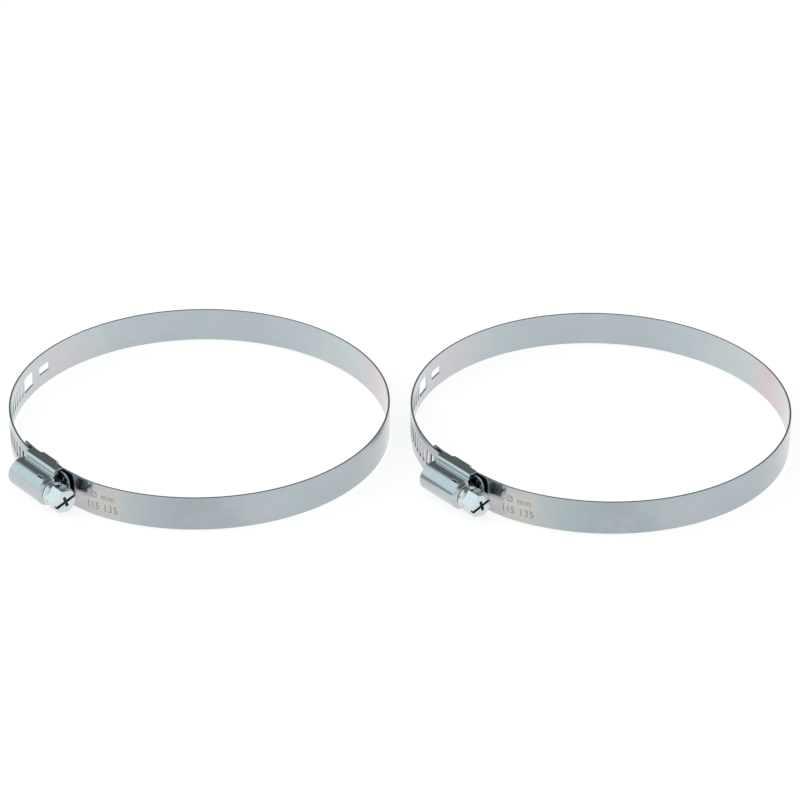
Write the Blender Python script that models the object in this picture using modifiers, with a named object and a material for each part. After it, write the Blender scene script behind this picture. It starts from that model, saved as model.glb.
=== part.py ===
"""A pair of perforated worm-drive clamps for round ducting, drawn at their largest size.

Each clamp has four pieces: a steel band bent into a loop, a housing that wraps the crossing of
the band's two ends, a saddle between those ends, and a worm screw with a hexagonal head. The
screw's thread runs through the slots of the band's free end and pulls it round the loop.

Every clamp is drawn in its own frame: the loop's axis is Z, and the housing sits at angle 0,
centred on X. There Y runs along the screw, towards its head.
"""
import math

import bmesh
import bpy
from mathutils import Matrix

MM = 0.001

# Sizes that the clamp is sold by.
LOOP_RADIUS = 67.5 * MM
RADIUS_RANGE = 10.0 * MM
BAND_WIDTH = 12.7 * MM
BAND_THICKNESS = 0.7 * MM
HEAD_ACROSS_FLATS = 8.0 * MM

# Clearances.
SHEET_GAP = 0.3 * MM
LAP_GAP = 0.2 * MM
RUNNING_GAP = 0.3 * MM
CORE_GAP = 0.4 * MM

# Where the two loops lie, and where each housing sits on its loop.
GAP_BETWEEN_LOOPS = 6.7 * MM
HOUSING_ANGLE = 220.0

# The band's punched holes.
SLOT_PITCH = 3.3 * MM
SLOT_WIDTH = 1.75 * MM
SLOT_LENGTH = 6.2 * MM
SLOT_OFFSET = 1.1 * MM
SLOT_CORNER_RADIUS = 0.45 * MM
LARGE_WINDOW = (7.9 * MM, 5.8 * MM)
SMALL_WINDOW = (6.7 * MM, 3.2 * MM)
LARGE_WINDOW_MARGIN = 2.3 * MM
WINDOW_SPACING = 4.1 * MM
WINDOW_CORNER_RADIUS = 0.7 * MM

# The band's two ends.
TIP_CORNER_RADIUS = 4.0 * MM
TIP_OVERHANG = 4.3 * MM
FIXED_END_OVERHANG = 7.3 * MM
FIXED_CORNER_RADIUS = 0.8 * MM
STEP_ANGLE = 14.0

# The housing.
HOUSING_LENGTH = 17.6 * MM
HOUSING_WALL = 0.7 * MM
HOUSING_BEND_RADIUS = 0.8 * MM
SHOULDER_CLEARANCE = 1.15 * MM
TAB_LENGTH = 8.7 * MM
TAB_REACH = 2.9 * MM
LIP_THICKNESS = 0.8 * MM
LIP_INSET = 0.3 * MM
SLIT_LENGTH = 2.4 * MM
SLIT_WIDTH = 0.5 * MM
SLIT_ANGLE = 69.0
SLIT_MARGIN = 0.7 * MM
THROAT_LENGTH = 1.2 * MM
THROAT_DRAW = 0.7 * MM
THROAT_STEP = 0.05 * MM
THROAT_CORNER_RADIUS = 0.4 * MM

# The saddle.
SADDLE_THICKNESS = 0.5 * MM
SADDLE_INSET = 0.3 * MM

# The worm screw.
THREAD_OVER_FLATS = 0.45 * MM
THREAD_CREST_WIDTH = 0.8 * MM
THREAD_ROOT_WIDTH = 1.5 * MM
THREAD_MARGIN = 0.2 * MM
JOURNAL_STEP = 0.65 * MM
NECK_STEP = 0.25 * MM
COLLAR_THICKNESS = 2.2 * MM
COLLAR_TAPER = (0.2 * MM, 1.3 * MM)
COLLAR_STANDOFF = 0.6 * MM
HEAD_LENGTH = 5.4 * MM
HEAD_CHAMFER = 0.5 * MM
DRIVE_SLOT_WIDTH = 1.2 * MM
DRIVE_SLOT_DEPTH = 1.4 * MM
CROSS_LENGTH = 4.2 * MM
CROSS_DEPTH = 2.2 * MM
HEX_TURN = 18.0

# Smoothness.
BAND_FACET_ANGLE = 3.0
ROUND_STEPS = 24
BEND_STEPS = 3
CORNER_STEPS = 3
CROWN_STEPS = 16

# Radii of the layers that cross under the screw, from the loop's axis outwards. The loop is a
# slow spiral, so that the free end slides over the front of the band without touching it.
SPIRAL = (BAND_THICKNESS + LAP_GAP) / 2
TONGUE_RADIUS = LOOP_RADIUS + SPIRAL
FRONT_RADIUS = LOOP_RADIUS - SPIRAL
TONGUE_OUTSIDE = TONGUE_RADIUS + BAND_THICKNESS
SADDLE_RADIUS = TONGUE_RADIUS - SHEET_GAP - SADDLE_THICKNESS
FIXED_RADIUS = SADDLE_RADIUS - SHEET_GAP - BAND_THICKNESS
SLOT_RADIUS = TONGUE_RADIUS + BAND_THICKNESS / 2

# The screw's thread reaches through the slots, as deep as the band is thick, and its core clears
# the band. The screw's axis lies at SCREW_AXIS_RADIUS from the loop's.
THREAD_DEPTH = BAND_THICKNESS + CORE_GAP
CREST_RADIUS = HEAD_ACROSS_FLATS / 2 + THREAD_OVER_FLATS
CORE_RADIUS = CREST_RADIUS - THREAD_DEPTH
NECK_RADIUS = CORE_RADIUS - NECK_STEP
JOURNAL_RADIUS = CORE_RADIUS - JOURNAL_STEP
SCREW_AXIS_RADIUS = TONGUE_RADIUS + CREST_RADIUS

# Stations along the screw, from the housing's middle towards the head.
LIP_INNER_FACE = HOUSING_LENGTH / 2 - LIP_INSET - LIP_THICKNESS
CORE_END = LIP_INNER_FACE - RUNNING_GAP
THROAT_END = HOUSING_LENGTH / 2 + THROAT_LENGTH
CORE_FRONT = THROAT_END - LIP_THICKNESS - RUNNING_GAP
COLLAR_BACK = THROAT_END + COLLAR_STANDOFF
COLLAR_FRONT = COLLAR_BACK + COLLAR_THICKNESS
HEAD_FACE = COLLAR_FRONT + HEAD_LENGTH
THREAD_LENGTH = 2 * (CORE_END - THREAD_MARGIN) - THREAD_ROOT_WIDTH
THREAD_TURNS = THREAD_LENGTH / SLOT_PITCH

# The collar is as large as the band beneath it lets it be.
COLLAR_RADIUS = SCREW_AXIS_RADIUS - math.sqrt(TONGUE_OUTSIDE**2 - COLLAR_BACK**2) - SHEET_GAP

# The band's free end travels this far from the largest loop to the smallest.
TRAVEL = 2 * math.pi * RADIUS_RANGE
TRAVEL_ANGLE = math.degrees(TRAVEL / SLOT_RADIUS)
SLOT_COUNT = round((TRAVEL + THREAD_LENGTH) / SLOT_PITCH)

# Housing section: distances from the screw's axis, and heights off the loop's middle plane.
CROWN_RADIUS = CREST_RADIUS + RUNNING_GAP + HOUSING_WALL / 2
WALL_HEIGHT = BAND_WIDTH / 2 + SHEET_GAP + HOUSING_WALL / 2
HOUSING_HALF_HEIGHT = WALL_HEIGHT + HOUSING_WALL / 2
SHOULDER_RADIUS = TONGUE_OUTSIDE + SHOULDER_CLEARANCE + HOUSING_WALL / 2
TAB_RADIUS = math.sqrt(FIXED_RADIUS**2 - (TAB_LENGTH / 2) ** 2) - SHEET_GAP - HOUSING_WALL / 2
SKIRT_RADIUS = FIXED_RADIUS + SHEET_GAP

LOOP_CENTRE_X = TONGUE_OUTSIDE + GAP_BETWEEN_LOOPS / 2
PLATED_STEEL = (0.62, 0.66, 0.70, 1.0)


# ---------------------------------------------------------------- helpers


def smoothstep(value):
    value = min(max(value, 0.0), 1.0)
    return value * value * (3 - 2 * value)


def arc_angle(length, radius):
    """Degrees that a length takes along an arc."""
    return math.degrees(length / radius)


def arc(centre, radius, start, end, steps):
    """Points along an arc in a plane, from one angle to another in degrees."""
    points = []
    for index in range(steps + 1):
        angle = math.radians(start + (end - start) * index / steps)
        points.append((centre[0] + radius * math.cos(angle), centre[1] + radius * math.sin(angle)))
    return points


def link(obj, collection, parent):
    collection.objects.link(obj)
    obj.parent = parent
    return obj


def curve_mesh(name, outlines, half_depth, closed):
    """A mesh from flat outlines: filled plates where closed, upright ribbons where open."""
    curve = bpy.data.curves.new(name, "CURVE")
    curve.dimensions = "2D"
    curve.fill_mode = "BOTH"
    curve.extrude = half_depth
    for points in outlines:
        spline = curve.splines.new("POLY")
        spline.points.add(len(points) - 1)
        spline.use_cyclic_u = closed
        for target, point in zip(spline.points, points):
            target.co = (point[0], point[1], 0.0, 1.0)
    source = bpy.data.objects.new(name, curve)
    mesh = bpy.data.meshes.new_from_object(source)
    bpy.data.objects.remove(source)
    bpy.data.curves.remove(curve)
    weld(mesh)
    mesh.name = name
    return mesh


def weld(mesh):
    bm = bmesh.new()
    bm.from_mesh(mesh)
    bmesh.ops.remove_doubles(bm, verts=bm.verts, dist=0.001 * MM)
    bmesh.ops.recalc_face_normals(bm, faces=bm.faces)
    bm.to_mesh(mesh)
    bm.free()


def boxes_mesh(name, boxes):
    """One mesh of separate boxes, each given by its size and its placement."""
    bm = bmesh.new()
    for size, placement in boxes:
        bmesh.ops.create_cube(bm, size=1.0, matrix=placement @ Matrix.Diagonal((*size, 1.0)))
    mesh = bpy.data.meshes.new(name)
    bm.to_mesh(mesh)
    bm.free()
    return mesh


def profile_mesh(name, points, closed):
    """A wire profile in the XZ plane, to be turned or wound about Z."""
    mesh = bpy.data.meshes.new(name)
    vertices = [(x, 0.0, z) for x, z in points]
    edges = [(index, index + 1) for index in range(len(points) - 1)]
    if closed:
        edges.append((len(points) - 1, 0))
    mesh.from_pydata(vertices, edges, [])
    return mesh


def add_screw(obj, steps, turns=1.0, rise=0.0):
    modifier = obj.modifiers.new("turn", "SCREW")
    modifier.axis = "Z"
    modifier.angle = 2 * math.pi * turns
    modifier.screw_offset = rise
    modifier.steps = steps
    modifier.render_steps = steps
    modifier.use_merge_vertices = True
    modifier.merge_threshold = 0.001 * MM


def swept_mesh(name, section, steps, turns, rise=0.0):
    """A closed solid from a section in the XZ plane, turned about Z or wound up along it."""
    sweep = bpy.data.objects.new(name, profile_mesh(name, section, closed=True))
    add_screw(sweep, steps, turns, rise)
    CUTTERS.objects.link(sweep)
    evaluated = sweep.evaluated_get(bpy.context.evaluated_depsgraph_get())
    mesh = bpy.data.meshes.new_from_object(evaluated)
    bpy.data.objects.remove(sweep)
    bm = bmesh.new()
    bm.from_mesh(mesh)
    bmesh.ops.holes_fill(bm, edges=bm.edges, sides=len(section))
    bmesh.ops.recalc_face_normals(bm, faces=bm.faces)
    bm.to_mesh(mesh)
    bm.free()
    return mesh


def add_solidify(obj, thickness):
    modifier = obj.modifiers.new("sheet", "SOLIDIFY")
    modifier.thickness = thickness
    modifier.offset = 0.0
    modifier.use_even_offset = True
    modifier.use_quality_normals = True


def add_boolean(obj, other, operation):
    modifier = obj.modifiers.new(operation.lower(), "BOOLEAN")
    modifier.operation = operation
    modifier.object = other
    modifier.solver = "EXACT"


def add_cutter(name, mesh, parent):
    cutter = link(bpy.data.objects.new(name, mesh), CUTTERS, parent)
    cutter.hide_render = True
    cutter.display_type = "WIRE"
    return cutter


def add_part(name, mesh, parent):
    part = link(bpy.data.objects.new(name, mesh), PARTS, parent)
    material = bpy.data.materials.new(name)
    material.use_nodes = True
    shader = material.node_tree.nodes["Principled BSDF"]
    shader.inputs["Base Color"].default_value = PLATED_STEEL
    shader.inputs["Metallic"].default_value = 1.0
    shader.inputs["Roughness"].default_value = 0.28
    part.data.materials.append(material)
    return part


def on_loop(angle, radius):
    """A placement on the loop: X points outwards, Y along the band and Z up."""
    turn = Matrix.Rotation(math.radians(angle), 4, "Z")
    return turn @ Matrix.Translation((radius, 0.0, 0.0))


# A flat drawing laid on the loop: its X runs along the band, its Y up and its Z outwards.
FLAT_TO_LOOP = Matrix(((0, 0, 1, 0), (1, 0, 0, 0), (0, 1, 0, 0), (0, 0, 0, 1)))


# ---------------------------------------------------------------- band


# Angles of the band's stations, from the free tip at the screw's head back round the loop.
TIP_ANGLE = arc_angle(HOUSING_LENGTH / 2 + TIP_OVERHANG, SLOT_RADIUS)
SLOT_STEP = arc_angle(SLOT_PITCH, SLOT_RADIUS)
FIRST_SLOT = arc_angle(SLOT_OFFSET + 2 * SLOT_PITCH, SLOT_RADIUS)
LAST_SLOT = FIRST_SLOT - (SLOT_COUNT - 1) * SLOT_STEP
LARGE_WINDOW_ANGLE = LAST_SLOT - arc_angle(LARGE_WINDOW_MARGIN + LARGE_WINDOW[0] / 2, SLOT_RADIUS)
SMALL_WINDOW_ANGLE = LARGE_WINDOW_ANGLE - arc_angle(
    (LARGE_WINDOW[0] + SMALL_WINDOW[0]) / 2 + WINDOW_SPACING, SLOT_RADIUS
)
PLAIN_START = SMALL_WINDOW_ANGLE - arc_angle(SMALL_WINDOW[0], SLOT_RADIUS)
FRONT_END = TIP_ANGLE + TRAVEL_ANGLE - 360
STEP_START = arc_angle(HOUSING_LENGTH / 2, FIXED_RADIUS) - 360
FIXED_END = -arc_angle(HOUSING_LENGTH / 2 + FIXED_END_OVERHANG, FIXED_RADIUS) - 360

BAND_STATIONS = (
    (FIXED_END, FIXED_RADIUS),
    (STEP_START, FIXED_RADIUS),
    (STEP_START + STEP_ANGLE, FRONT_RADIUS),
    (FRONT_END, FRONT_RADIUS),
    (PLAIN_START, TONGUE_RADIUS),
    (TIP_ANGLE, TONGUE_RADIUS),
)


def band_radius(angle):
    """Inside radius of the band at an angle, blended between its stations."""
    for (start, inner), (end, outer) in zip(BAND_STATIONS, BAND_STATIONS[1:]):
        if angle <= end:
            return inner + (outer - inner) * smoothstep((angle - start) / (end - start))
    return TONGUE_RADIUS


def band_centre_line():
    span = TIP_ANGLE - FIXED_END
    steps = math.ceil(span / BAND_FACET_ANGLE)
    points = []
    for index in range(steps + 1):
        angle = TIP_ANGLE - span * index / steps
        radius = band_radius(angle) + BAND_THICKNESS / 2
        points.append((radius * math.cos(math.radians(angle)), radius * math.sin(math.radians(angle))))
    return points


def hole_plate(size, corner_radius):
    """A plate with round corners that punches one hole, drawn flat."""
    outline = []
    for quarter, (side_x, side_y) in enumerate(((1, 1), (-1, 1), (-1, -1), (1, -1))):
        centre_x = side_x * (size[0] / 2 - corner_radius)
        centre_y = side_y * (size[1] / 2 - corner_radius)
        start = 90 * quarter
        outline += arc((centre_x, centre_y), corner_radius, start, start + 90, CORNER_STEPS)
    return curve_mesh("hole", [outline], 2 * BAND_THICKNESS, closed=True)


def band_holes_mesh():
    """The slots for the thread, and the two windows behind them."""
    lead = Matrix.Rotation(-math.atan(SLOT_PITCH / (2 * math.pi * CREST_RADIUS)), 4, "X")
    holes = []
    for index in range(SLOT_COUNT):
        place = on_loop(FIRST_SLOT - index * SLOT_STEP, SLOT_RADIUS) @ lead
        holes.append((hole_plate((SLOT_WIDTH, SLOT_LENGTH), SLOT_CORNER_RADIUS), place))
    windows = ((LARGE_WINDOW_ANGLE, LARGE_WINDOW), (SMALL_WINDOW_ANGLE, SMALL_WINDOW))
    for angle, size in windows:
        holes.append((hole_plate(size, WINDOW_CORNER_RADIUS), on_loop(angle, SLOT_RADIUS)))
    bm = bmesh.new()
    for plate, place in holes:
        plate.transform(place @ FLAT_TO_LOOP)
        bm.from_mesh(plate)
    mesh = bpy.data.meshes.new("holes")
    bm.to_mesh(mesh)
    bm.free()
    return mesh


def corner_outlines(radius):
    """What is trimmed off an end's two corners, drawn flat: X along the band, Y across."""
    margin = BAND_THICKNESS
    edge = BAND_WIDTH / 2
    upper = [
        (margin, edge - radius),
        *arc((-radius, edge - radius), radius, 0, 90, 2 * CORNER_STEPS),
        (-radius, edge + margin),
        (margin, edge + margin),
    ]
    return [upper, [(x, -y) for x, y in reversed(upper)]]


def make_band(side, frame):
    mesh = curve_mesh(f"{side}_band", [band_centre_line()], BAND_WIDTH / 2, closed=False)
    band = add_part(f"{side}_band", mesh, frame)
    add_solidify(band, BAND_THICKNESS)
    add_boolean(band, add_cutter(f"{side}_band_holes", band_holes_mesh(), frame), "DIFFERENCE")
    # The fixed end is the free end turned about, with smaller corners.
    turned = Matrix.Rotation(math.pi, 4, "X")
    ends = (
        ("tip_corners", TIP_CORNER_RADIUS, on_loop(TIP_ANGLE, SLOT_RADIUS)),
        ("fixed_corners", FIXED_CORNER_RADIUS, on_loop(FIXED_END, FIXED_RADIUS) @ turned),
    )
    for name, radius, place in ends:
        corners = curve_mesh(name, corner_outlines(radius), BAND_THICKNESS, closed=True)
        corners.transform(place @ FLAT_TO_LOOP)
        add_boolean(band, add_cutter(f"{side}_{name}", corners, frame), "DIFFERENCE")
    return band


# ---------------------------------------------------------------- housing


# The section is drawn flat, X up from the loop's middle plane and Y outwards from its axis.
SECTION_TO_CLAMP = Matrix(((0, 1, 0, 0), (0, 0, 1, 0), (1, 0, 0, 0), (0, 0, 0, 1)))

# The screw's own Z points to its head, and its X outwards from the loop.
SCREW_TO_CLAMP = Matrix.Translation((SCREW_AXIS_RADIUS, 0.0, 0.0)) @ Matrix.Rotation(
    -math.pi / 2, 4, "X"
)


def valley():
    """Where the crown meets its shoulder: the fillet's centre and the crown's end angle."""
    reach = CROWN_RADIUS + HOUSING_BEND_RADIUS
    rise = SHOULDER_RADIUS + HOUSING_BEND_RADIUS - SCREW_AXIS_RADIUS
    height = math.sqrt(reach**2 - rise**2)
    return (height, SHOULDER_RADIUS + HOUSING_BEND_RADIUS), math.degrees(math.atan2(rise, height))


def housing_section():
    """The sheet's middle line, from the upper tab over the crown to the lower tab."""
    bend = HOUSING_BEND_RADIUS
    centre, contact = valley()
    shoulder_bend = min(bend, WALL_HEIGHT - centre[0])
    tab_tip = (WALL_HEIGHT - HOUSING_WALL / 2 - TAB_REACH, TAB_RADIUS)
    half = [
        tab_tip,
        *arc((WALL_HEIGHT - bend, TAB_RADIUS + bend), bend, -90, 0, BEND_STEPS),
        *arc(
            (WALL_HEIGHT - shoulder_bend, SHOULDER_RADIUS - shoulder_bend),
            shoulder_bend,
            0,
            90,
            BEND_STEPS,
        ),
        *arc(centre, bend, 270, 180 + contact, BEND_STEPS),
    ]
    crown = arc((0.0, SCREW_AXIS_RADIUS), CROWN_RADIUS, contact, 180 - contact, CROWN_STEPS)
    return half + crown[1:-1] + [(-x, y) for x, y in reversed(half)]


def journal_lip_outline():
    """A ring segment across the crown's far end, rooted in the middle of the crown's wall."""
    _, contact = valley()
    bore = JOURNAL_RADIUS + RUNNING_GAP
    outer = arc((0.0, SCREW_AXIS_RADIUS), CROWN_RADIUS, contact, 180 - contact, CROWN_STEPS)
    inner = arc((0.0, SCREW_AXIS_RADIUS), bore, 180 - contact, contact, CROWN_STEPS)
    return outer + inner


def throat_mesh(name):
    """The crown's head end, drawn in to a lip that holds the screw's core behind its neck."""
    outside = CROWN_RADIUS + HOUSING_WALL / 2 - THROAT_STEP
    inside = CROWN_RADIUS - HOUSING_WALL / 2 + THROAT_STEP
    root = (HOUSING_LENGTH - HOUSING_WALL) / 2
    corner = THROAT_CORNER_RADIUS
    section = [
        (outside, root),
        *arc((outside - THROAT_DRAW - corner, THROAT_END - corner), corner, 0, 90, CORNER_STEPS),
        (NECK_RADIUS + RUNNING_GAP, THROAT_END),
        (NECK_RADIUS + RUNNING_GAP, THROAT_END - LIP_THICKNESS),
        (inside - THROAT_DRAW, THROAT_END - LIP_THICKNESS),
        (inside, root),
    ]
    _, contact = valley()
    span = 180 - 2 * contact
    mesh = swept_mesh(name, section, CROWN_STEPS, span / 360)
    mesh.transform(SCREW_TO_CLAMP @ Matrix.Rotation(math.radians(-span / 2), 4, "Z"))
    return mesh


def skirt_trims():
    """Boxes that take the tabs away past their ends, so that only the middle folds under."""
    reach = SKIRT_RADIUS - (TAB_RADIUS - HOUSING_WALL)
    length = (HOUSING_LENGTH - TAB_LENGTH) / 2 + HOUSING_WALL
    size = (reach, length, 2 * HOUSING_HALF_HEIGHT + HOUSING_WALL)
    middle = TAB_LENGTH / 2 + length / 2
    places = [Matrix.Translation((SKIRT_RADIUS - reach / 2, sign * middle, 0.0)) for sign in (-1, 1)]
    return [(size, place) for place in places]


def crown_slit():
    """The short slit in the crown near its head end."""
    along = LIP_INNER_FACE - SLIT_MARGIN - SLIT_LENGTH / 2
    middle = Matrix.Translation((SCREW_AXIS_RADIUS, along, 0.0))
    turn = Matrix.Rotation(-math.radians(SLIT_ANGLE), 4, "Y")
    place = middle @ turn @ Matrix.Translation((CROWN_RADIUS, 0.0, 0.0))
    return [((2 * HOUSING_WALL, SLIT_LENGTH, SLIT_WIDTH), place)]


def make_housing(side, frame):
    mesh = curve_mesh(f"{side}_housing", [housing_section()], HOUSING_LENGTH / 2, closed=False)
    mesh.transform(SECTION_TO_CLAMP)
    housing = add_part(f"{side}_housing", mesh, frame)
    add_solidify(housing, HOUSING_WALL)
    lip = curve_mesh("journal_lip", [journal_lip_outline()], LIP_THICKNESS / 2, closed=True)
    lip_middle = -(LIP_INNER_FACE + LIP_THICKNESS / 2)
    lip.transform(Matrix.Translation((0.0, lip_middle, 0.0)) @ SECTION_TO_CLAMP)
    for name, end in (("journal_lip", lip), ("throat", throat_mesh("throat"))):
        add_boolean(housing, add_cutter(f"{side}_{name}", end, frame), "UNION")
    cuts = boxes_mesh("housing_cuts", skirt_trims() + crown_slit())
    add_boolean(housing, add_cutter(f"{side}_housing_cuts", cuts, frame), "DIFFERENCE")
    return housing


# ---------------------------------------------------------------- saddle


def make_saddle(side, frame):
    """A curved plate on the fixed end, which the free end slides over."""
    middle = SADDLE_RADIUS + SADDLE_THICKNESS / 2
    half = arc_angle(HOUSING_LENGTH / 2 - SADDLE_INSET, SADDLE_RADIUS)
    line = arc((0.0, 0.0), middle, -half, half, 2 * math.ceil(half / BAND_FACET_ANGLE))
    mesh = curve_mesh(f"{side}_saddle", [line], BAND_WIDTH / 2, closed=False)
    saddle = add_part(f"{side}_saddle", mesh, frame)
    add_solidify(saddle, SADDLE_THICKNESS)
    return saddle


# ---------------------------------------------------------------- worm screw


def screw_profile():
    """The turned body's outline, from the head's end of the collar down to the tip."""
    edge = HEAD_CHAMFER / 2
    tip = -HOUSING_LENGTH / 2
    return [
        (0.0, COLLAR_FRONT),
        (COLLAR_RADIUS - COLLAR_TAPER[0], COLLAR_FRONT),
        (COLLAR_RADIUS, COLLAR_FRONT - COLLAR_TAPER[1]),
        (COLLAR_RADIUS, COLLAR_BACK + edge),
        (COLLAR_RADIUS - edge, COLLAR_BACK),
        (NECK_RADIUS, COLLAR_BACK),
        (NECK_RADIUS, CORE_FRONT),
        (CORE_RADIUS, CORE_FRONT - (CORE_RADIUS - NECK_RADIUS)),
        (CORE_RADIUS, -CORE_END),
        (JOURNAL_RADIUS, -CORE_END),
        (JOURNAL_RADIUS, tip + edge),
        (JOURNAL_RADIUS - edge, tip),
        (0.0, tip),
    ]


def thread_ridge(name):
    """A closed ridge wound about the core, in phase with the band's slots."""
    root = THREAD_ROOT_WIDTH / 2
    crest = THREAD_CREST_WIDTH / 2
    sunk = CORE_RADIUS - THREAD_DEPTH / 3
    section = [(CREST_RADIUS, crest), (CREST_RADIUS, -crest), (sunk, -root), (sunk, root)]
    mesh = swept_mesh(name, section, round(ROUND_STEPS * THREAD_TURNS), THREAD_TURNS, THREAD_LENGTH)
    # The ridge starts on the screw's X side; the band is on the opposite side, where a crest
    # must stand at the slot offset.
    start = -THREAD_LENGTH / 2
    half_turns = (SLOT_OFFSET - start) / SLOT_PITCH
    phase = math.pi - 2 * math.pi * half_turns
    mesh.transform(Matrix.Translation((0.0, 0.0, start)) @ Matrix.Rotation(phase, 4, "Z"))
    return mesh


def head_mesh(name):
    """The hexagonal prism, sunk a little into the collar that carries it."""
    sunk = COLLAR_THICKNESS / 3
    length = HEAD_LENGTH + sunk
    corner = HEAD_ACROSS_FLATS / math.sqrt(3)
    bm = bmesh.new()
    place = Matrix.Translation((0.0, 0.0, COLLAR_FRONT - sunk + length / 2))
    turn = Matrix.Rotation(math.radians(HEX_TURN), 4, "Z")
    bmesh.ops.create_cone(
        bm, cap_ends=True, segments=6, radius1=corner, radius2=corner, depth=length, matrix=place @ turn
    )
    mesh = bpy.data.meshes.new(name)
    bm.to_mesh(mesh)
    bm.free()
    return mesh


def head_envelope():
    """A turned shape that trims the hexagon's corners at its end and behind, at its collar."""
    corner = HEAD_ACROSS_FLATS / math.sqrt(3)
    flat = HEAD_ACROSS_FLATS / 2
    half_chamfer = HEAD_CHAMFER / 2
    return [
        (0.0, HEAD_FACE + HEAD_CHAMFER),
        (flat - HEAD_CHAMFER, HEAD_FACE + HEAD_CHAMFER),
        (flat - half_chamfer, HEAD_FACE),
        (corner + half_chamfer, HEAD_FACE - HEAD_CHAMFER),
        (corner + half_chamfer, COLLAR_FRONT),
        (COLLAR_RADIUS - HEAD_CHAMFER, COLLAR_FRONT - HEAD_CHAMFER),
        (COLLAR_RADIUS - HEAD_CHAMFER, COLLAR_BACK),
        (0.0, COLLAR_BACK),
    ]


def drive_cuts():
    """The driver's slot from flat to flat, and the cross recess in its middle."""
    face = Matrix.Translation((0.0, 0.0, HEAD_FACE))
    slot_place = face @ Matrix.Rotation(math.radians(HEX_TURN), 4, "Z")
    cross_place = face @ Matrix.Rotation(math.radians(HEX_TURN + 90), 4, "Z")
    return (
        ("drive_slot", (2 * HEAD_ACROSS_FLATS, DRIVE_SLOT_WIDTH, 2 * DRIVE_SLOT_DEPTH), slot_place),
        ("drive_cross", (CROSS_LENGTH, DRIVE_SLOT_WIDTH, 2 * CROSS_DEPTH), cross_place),
    )


def make_worm_screw(side, frame):
    axis = bpy.data.objects.new(f"{side}_screw_axis", None)
    link(axis, PARTS, frame)
    axis.location = (SCREW_AXIS_RADIUS, 0.0, 0.0)
    axis.rotation_euler = (-math.pi / 2, 0.0, 0.0)
    body = profile_mesh("screw", screw_profile(), closed=False)
    screw = add_part(f"{side}_worm_screw", body, axis)
    add_screw(screw, ROUND_STEPS)
    head = add_cutter(f"{side}_head", head_mesh("head"), axis)
    turned = profile_mesh("envelope", head_envelope(), closed=False)
    envelope = add_cutter(f"{side}_head_envelope", turned, axis)
    add_screw(envelope, ROUND_STEPS)
    add_boolean(head, envelope, "INTERSECT")
    add_boolean(screw, head, "UNION")
    add_boolean(screw, add_cutter(f"{side}_thread", thread_ridge("thread"), axis), "UNION")
    for name, size, place in drive_cuts():
        cutter = add_cutter(f"{side}_{name}", boxes_mesh(name, [(size, place)]), axis)
        add_boolean(screw, cutter, "DIFFERENCE")
    return screw


# ---------------------------------------------------------------- assembly


def make_clamp(side, centre_x):
    frame = bpy.data.objects.new(f"{side}_clamp", None)
    link(frame, PARTS, None)
    frame.location = (centre_x, 0.0, HOUSING_HALF_HEIGHT)
    frame.rotation_euler = (0.0, 0.0, math.radians(HOUSING_ANGLE))
    pieces = [maker(side, frame) for maker in (make_band, make_housing, make_saddle, make_worm_screw)]
    for piece in pieces:
        piece.data.shade_smooth()
        piece.data.set_sharp_from_angle(angle=math.radians(35))


for old in list(bpy.data.objects):
    bpy.data.objects.remove(old)
PARTS = bpy.data.collections.new("hose_clamp_pair")
CUTTERS = bpy.data.collections.new("cutters")
bpy.context.scene.collection.children.link(PARTS)
bpy.context.scene.collection.children.link(CUTTERS)
make_clamp("left", -LOOP_CENTRE_X)
make_clamp("right", LOOP_CENTRE_X)
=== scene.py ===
"""Looks for a pair of worm-drive duct clamps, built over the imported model.

Each clamp is built in its own frame: u outwards at the housing, s along the screw to its head,
z up. The band and the housing are drawn as flat blanks and then bent, as the real ones are.
"""
import math

import bmesh
import bpy
import numpy as np
from mathutils import Matrix, Vector


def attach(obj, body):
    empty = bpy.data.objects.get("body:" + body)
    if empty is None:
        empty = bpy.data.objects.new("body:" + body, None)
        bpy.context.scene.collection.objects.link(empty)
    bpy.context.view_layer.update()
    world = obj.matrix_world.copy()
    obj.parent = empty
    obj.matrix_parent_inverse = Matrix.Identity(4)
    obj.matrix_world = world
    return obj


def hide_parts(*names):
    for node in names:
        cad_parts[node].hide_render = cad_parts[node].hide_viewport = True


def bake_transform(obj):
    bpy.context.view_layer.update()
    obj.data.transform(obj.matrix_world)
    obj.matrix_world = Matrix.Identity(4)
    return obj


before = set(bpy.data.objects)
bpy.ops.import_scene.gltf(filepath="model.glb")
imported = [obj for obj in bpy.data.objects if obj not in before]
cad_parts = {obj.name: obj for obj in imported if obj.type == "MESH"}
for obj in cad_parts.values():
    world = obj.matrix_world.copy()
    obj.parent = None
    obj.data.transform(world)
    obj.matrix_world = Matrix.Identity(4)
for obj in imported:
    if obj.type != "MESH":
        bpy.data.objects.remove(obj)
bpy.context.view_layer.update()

MM = 0.001

# Clamp sizes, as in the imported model. Radii are measured from the loop's axis.
CENTRE_X = 72.0 * MM
MID_HEIGHT = 7.35 * MM
HOUSING_ANGLE = 220.0
BAND_WIDTH = 12.7 * MM
BAND_THICKNESS = 0.7 * MM
FIXED_RADIUS = 66.15 * MM
FRONT_RADIUS = 67.05 * MM
TONGUE_RADIUS = 67.95 * MM
SLOT_RADIUS = 68.3 * MM
SCREW_AXIS_RADIUS = 72.4 * MM

# Slots and windows in the band: length along it, and height.
PITCH = 3.3 * MM
SLOT_COUNT = 23
SLOT_SIZE = (1.75 * MM, 6.2 * MM)
SLOT_CORNER = 0.45 * MM
LARGE_WINDOW = (7.9 * MM, 5.8 * MM)
SMALL_WINDOW = (6.7 * MM, 3.2 * MM)
WINDOW_CORNER = 0.7 * MM

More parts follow.
